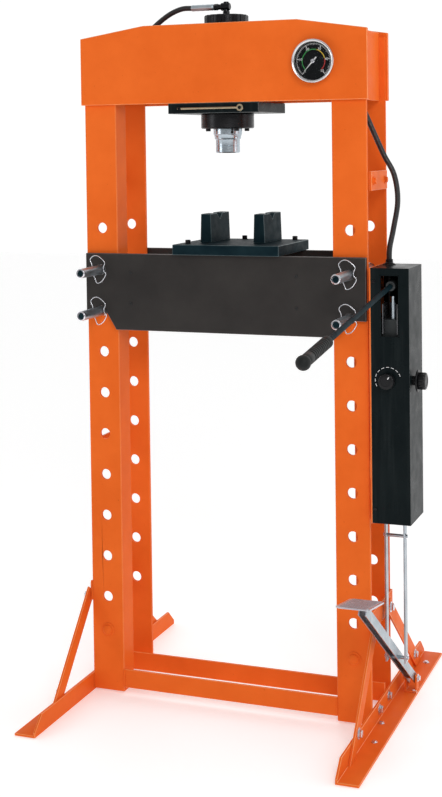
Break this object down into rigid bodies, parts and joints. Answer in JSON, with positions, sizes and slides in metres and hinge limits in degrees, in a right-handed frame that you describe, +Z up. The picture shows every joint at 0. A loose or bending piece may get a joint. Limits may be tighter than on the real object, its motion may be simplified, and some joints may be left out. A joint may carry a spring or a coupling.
{
  "type": "hydraulic shop press",
  "caption": "Floor-standing H-frame hydraulic shop press with a pin-adjustable bed, hand and foot pump, pressure gauge, arbor plate and V-blocks.",
  "frame": {"origin": "centre of the bounding box in plan, on the floor the feet stand on", "axes": "+Z up, +X to the right towards the pump box, -Y to the front, where the gauge and the pump handle are"},
  "size_m": [0.971, 1.2985, 1.842],
  "materials": {
    "orange_paint": "satin enamel",
    "charcoal_paint": "satin enamel",
    "black_paint": "semi-gloss enamel",
    "slate_steel": "dark slate finish, semi-matt",
    "black_oxide": "black oxide, semi-gloss",
    "chrome": "polished",
    "zinc_plate": "zinc plated",
    "tread_steel": "bright plated",
    "grip_rubber": "matt",
    "hose_rubber": "satin",
    "knob_plastic": "semi-gloss",
    "gauge_case": "polished",
    "dial_face": "matt",
    "needle_paint": "matt",
    "cast_block": "as cast"
  },
  "bodies": {
    "frame": {"batten_low_left": "orange_paint", "batten_low_right": "orange_paint", "batten_mid_left": "orange_paint", "batten_top_left": "orange_paint", "batten_top_right": "orange_paint", "bed_front": "charcoal_paint", "bed_rear": "charcoal_paint", "bed_spacer_left": "charcoal_paint", "bed_spacer_right": "charcoal_paint", "brace_front_left": "orange_paint", "brace_front_right": "orange_paint", "brace_rear_left": "orange_paint", "brace_rear_right": "orange_paint", "cross_member_front": "orange_paint", "cross_member_rear": "orange_paint", "cylinder_barrel": "black_oxide", "cylinder_collar": "black_oxide", "foot_left": "orange_paint", "foot_right": "orange_paint", "gauge_case": "gauge_case", "gauge_dial": "dial_face", "header_front": "orange_paint", "header_rear": "orange_paint", "header_web_left": "orange_paint", "header_web_right": "orange_paint", "hose_elbow": "black_oxide", "hydraulic_hose": "hose_rubber", "locking_rod": "zinc_plate", "pedal_bracket": "orange_paint", "pump_back_plate": "orange_paint", "pump_body": "cast_block", "pump_cover": "black_paint", "ring_nut": "black_oxide", "support_plate": "black_oxide", "upright_front_left": "orange_paint", "upright_front_right": "orange_paint", "upright_rear_left": "orange_paint", "upright_rear_right": "orange_paint"},
    "ram": {"ram": "chrome"},
    "arbor_plate": {"arbor_plate": "slate_steel"},
    "v_block_left": {"v_block_left": "slate_steel"},
    "v_block_right": {"v_block_right": "slate_steel"},
    "pump_handle": {"handle_socket": "cast_block", "handle_rod": "black_oxide", "handle_grip": "grip_rubber"},
    "hand_plunger": {"hand_plunger": "chrome"},
    "pedal": {"pedal_lever": "zinc_plate", "pedal_tread": "tread_steel"},
    "link_bars": {"link_bars": "zinc_plate"},
    "release_knob": {"release_knob": "knob_plastic"},
    "side_knob": {"side_knob": "knob_plastic"},
    "gauge_needle": {"gauge_needle": "needle_paint"},
    "bed_pin_upper_left": {"bed_pin_upper_left": "zinc_plate", "pin_clip_upper_left": "zinc_plate"},
    "bed_pin_lower_left": {"bed_pin_lower_left": "zinc_plate", "pin_clip_lower_left": "zinc_plate"},
    "bed_pin_upper_right": {"bed_pin_upper_right": "zinc_plate", "pin_clip_upper_right": "zinc_plate"},
    "bed_pin_lower_right": {"bed_pin_lower_right": "zinc_plate", "pin_clip_lower_right": "zinc_plate"}
  },
  "joints": [
    {"name": "ram_stroke", "type": "slide", "parent": "frame", "child": "ram", "axis": [0, 0, -1], "range_m": [0, 0.15]},
    {"name": "arbor_plate_shift", "type": "slide", "parent": "frame", "child": "arbor_plate", "axis": [1, 0, 0], "range_m": [-0.1, 0.1]},
    {"name": "v_block_left_shift", "type": "slide", "parent": "arbor_plate", "child": "v_block_left", "axis": [1, 0, 0], "range_m": [-0.01, 0.04]},
    {"name": "v_block_right_shift", "type": "slide", "parent": "arbor_plate", "child": "v_block_right", "axis": [1, 0, 0], "range_m": [-0.04, 0.03]},
    {"name": "handle_pivot", "type": "hinge", "parent": "frame", "child": "pump_handle", "pos_m": [0.4035, 0.14928, 1.1215], "axis": [1, 0, 0], "range_deg": [-14, 32]},
    {"name": "plunger_stroke", "type": "slide", "parent": "frame", "child": "hand_plunger", "axis": [0, 0, -1], "range_m": [-0.011, 0.024]},
    {"name": "pedal_pivot", "type": "hinge", "parent": "frame", "child": "pedal", "pos_m": [0.384, 0.35178, 0.04], "axis": [1, 0, 0], "range_deg": [0, 15], "stiffness_Nm_per_rad": 60, "springref_deg": -17.19},
    {"name": "link_pivot", "type": "hinge", "parent": "pedal", "child": "link_bars", "pos_m": [0.384, 0.18928, 0.1513], "axis": [1, 0, 0], "range_deg": [-18.5, 1]},
    {"name": "release_knob_turn", "type": "hinge", "parent": "frame", "child": "release_knob", "pos_m": [0.3985, 0.06898, 0.882], "axis": [0, 1, 0], "range_deg": [0, 270]},
    {"name": "side_knob_turn", "type": "hinge", "parent": "frame", "child": "side_knob", "pos_m": [0.4528, 0.10928, 0.878], "axis": [1, 0, 0], "range_deg": [0, 270]},
    {"name": "gauge_needle_turn", "type": "hinge", "parent": "frame", "child": "gauge_needle", "pos_m": [0.2155, 0.06378, 1.672], "axis": [0, 1, 0], "range_deg": [0, 270], "stiffness_Nm_per_rad": 0.01},
    {"name": "pin_pull_upper_left", "type": "slide", "parent": "frame", "child": "bed_pin_upper_left", "axis": [0, -1, 0], "range_m": [0, 0.3]},
    {"name": "pin_pull_lower_left", "type": "slide", "parent": "frame", "child": "bed_pin_lower_left", "axis": [0, -1, 0], "range_m": [0, 0.3]},
    {"name": "pin_pull_upper_right", "type": "slide", "parent": "frame", "child": "bed_pin_upper_right", "axis": [0, -1, 0], "range_m": [0, 0.3]},
    {"name": "pin_pull_lower_right", "type": "slide", "parent": "frame", "child": "bed_pin_lower_right", "axis": [0, -1, 0], "range_m": [0, 0.3]}
  ],
  "couplings": [
    {"joint": "plunger_stroke", "follows": "handle_pivot", "m_per_rad": 0.04},
    {"joint": "link_pivot", "follows": "pedal_pivot", "ratio": -1.19}
  ]
}
